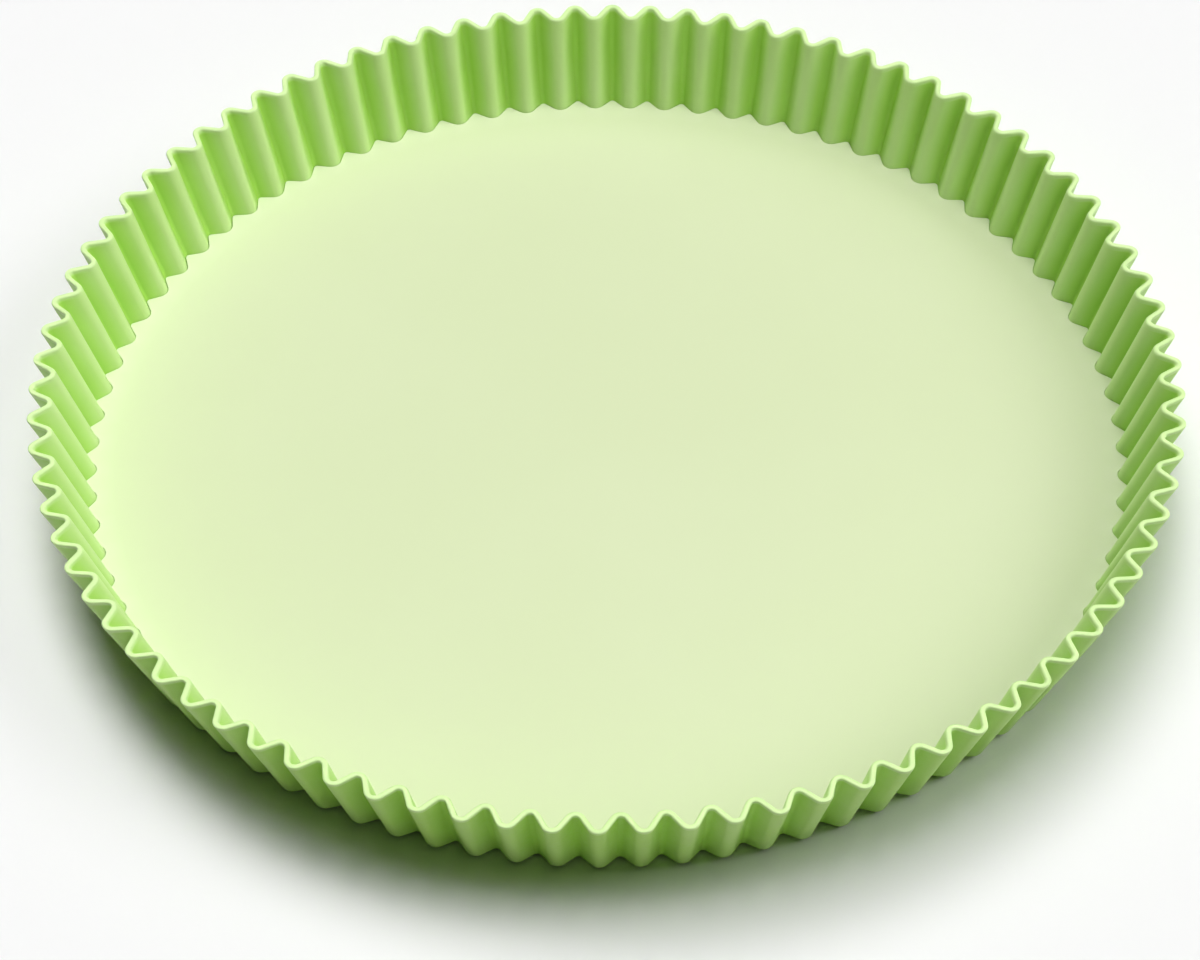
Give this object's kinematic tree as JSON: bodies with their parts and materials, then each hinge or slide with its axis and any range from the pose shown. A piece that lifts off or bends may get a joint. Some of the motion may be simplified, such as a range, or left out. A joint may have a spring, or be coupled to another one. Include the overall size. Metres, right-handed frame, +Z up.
{
  "type": "loose-based fluted cake mould",
  "caption": "Round shallow baking mould: a leaning, finely fluted ring with an inturned ledge, and a flat base with a fluted edge that lifts straight out.",
  "frame": {"origin": "centre of the underside, on the plane the mould stands on", "axes": "+Z up along the mould's axis, through the base towards the open rim; +X through the middle of one outer flute crest"},
  "size_m": [0.28, 0.2798, 0.0265],
  "materials": {
    "ring_silicone": "satin leaf-green silicone",
    "base_coating": "satin pale-green coating on flat steel sheet"
  },
  "bodies": {
    "ring": {"fluted_ring": "ring_silicone"},
    "base": {"loose_base": "base_coating"}
  },
  "joints": [
    {"name": "base_lift", "type": "slide", "parent": "ring", "child": "base", "axis": [0, 0, 1], "range_m": [0, 0.06]}
  ]
}
